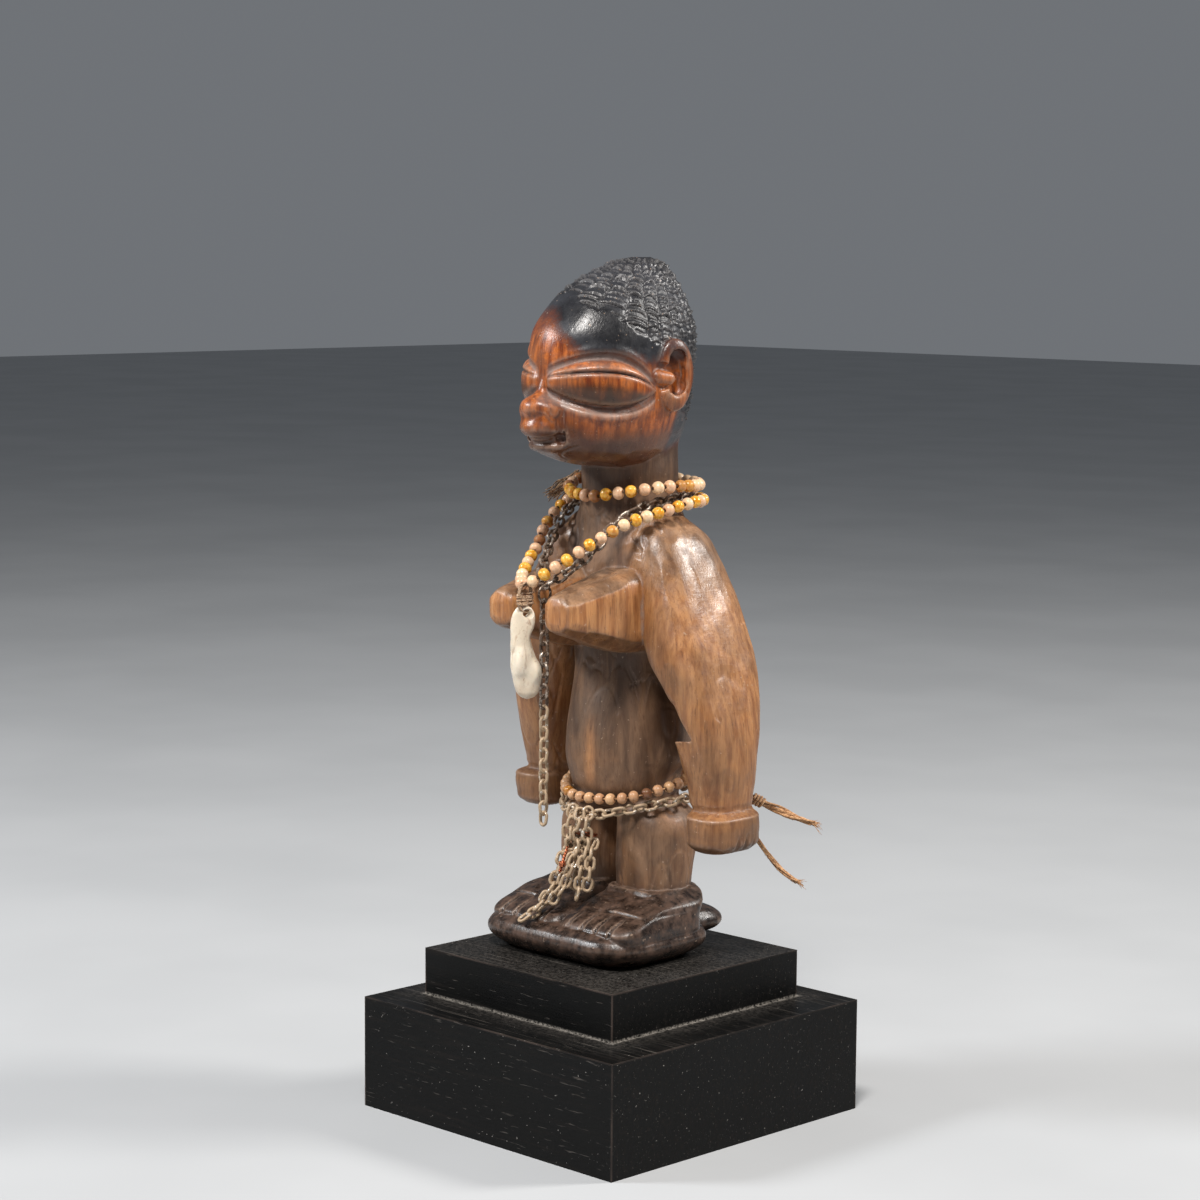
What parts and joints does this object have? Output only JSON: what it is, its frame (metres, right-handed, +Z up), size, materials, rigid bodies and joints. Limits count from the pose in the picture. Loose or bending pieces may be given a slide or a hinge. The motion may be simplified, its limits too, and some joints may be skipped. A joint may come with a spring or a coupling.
{
  "type": "fertility doll",
  "caption": "Carved wooden standing female figure with bead strands, metal chains and a tooth pendant, on a stepped black display plinth",
  "frame": {"origin": "the middle of the plinth's underside, on the surface that it stands on", "axes": "+Z is up, the figure faces -Y and its left is +X"},
  "size_m": [0.13, 0.1406, 0.3172],
  "materials": {
    "plinth_wood": "black stained open grained wood, satin, dusty in the step",
    "steel": "plain steel",
    "carved_wood": "hand carved hardwood, worn and oiled, knife facets, black hair",
    "neck_beads": "small glass beads, cream and amber",
    "waist_beads": "small glass beads, pinkish cream, dusty",
    "thread": "brown plant fibre thread",
    "twine": "loose tan twine, fibrous",
    "tooth": "polished tooth or bone with brown specks",
    "dark_chain": "aged dark chain, worn pale on the high spots",
    "pale_chain": "aged pale chain",
    "copper": "bare copper wire"
  },
  "bodies": {
    "figure_on_plinth": {"plinth_lower_block": "plinth_wood", "plinth_upper_block": "plinth_wood", "block_screws": "steel", "mount_pins": "steel", "carved_figure": "carved_wood", "collar_beads": "neck_beads", "collar_thread": "thread", "neck_knot": "thread", "pendant_beads": "neck_beads", "pendant_thread": "thread", "neck_chain": "dark_chain", "chain_ring": "dark_chain", "waist_beads": "waist_beads", "waist_twine": "twine", "waist_knot": "twine", "twine_end_upper": "twine", "twine_end_lower": "twine", "waist_chain": "pale_chain", "tassel_ring": "pale_chain", "copper_loop": "copper"},
    "pendant_tie": {"pendant_tie": "thread"},
    "pendant": {"pendant": "tooth"},
    "chain_tail_upper": {"chain_tail_upper": "dark_chain"},
    "chain_tail_lower": {"chain_tail_lower": "dark_chain"},
    "tassel": {"tassel_chains": "pale_chain"}
  },
  "joints": [
    {"name": "pendant_swing", "type": "hinge", "parent": "figure_on_plinth", "child": "pendant_tie", "pos_m": [-0.008, -0.0375, 0.199], "axis": [-1, 0, 0], "range_deg": [0, 50]},
    {"name": "pendant_sway", "type": "hinge", "parent": "pendant_tie", "child": "pendant", "pos_m": [-0.008, -0.0375, 0.18909], "axis": [0, 1, 0], "range_deg": [-8, 8]},
    {"name": "chain_tail_sway", "type": "hinge", "parent": "figure_on_plinth", "child": "chain_tail_upper", "pos_m": [-0.008, -0.0278, 0.19208], "axis": [0, 1, 0], "range_deg": [-6, 6]},
    {"name": "chain_tail_bend", "type": "hinge", "parent": "chain_tail_upper", "child": "chain_tail_lower", "pos_m": [-0.008, -0.0278, 0.15396], "axis": [-1, 0, 0], "range_deg": [-15, 60]},
    {"name": "tassel_swing", "type": "hinge", "parent": "figure_on_plinth", "child": "tassel", "pos_m": [-0.008, -0.007, 0.10196], "axis": [-1, 0, 0], "range_deg": [0, 18]}
  ]
}
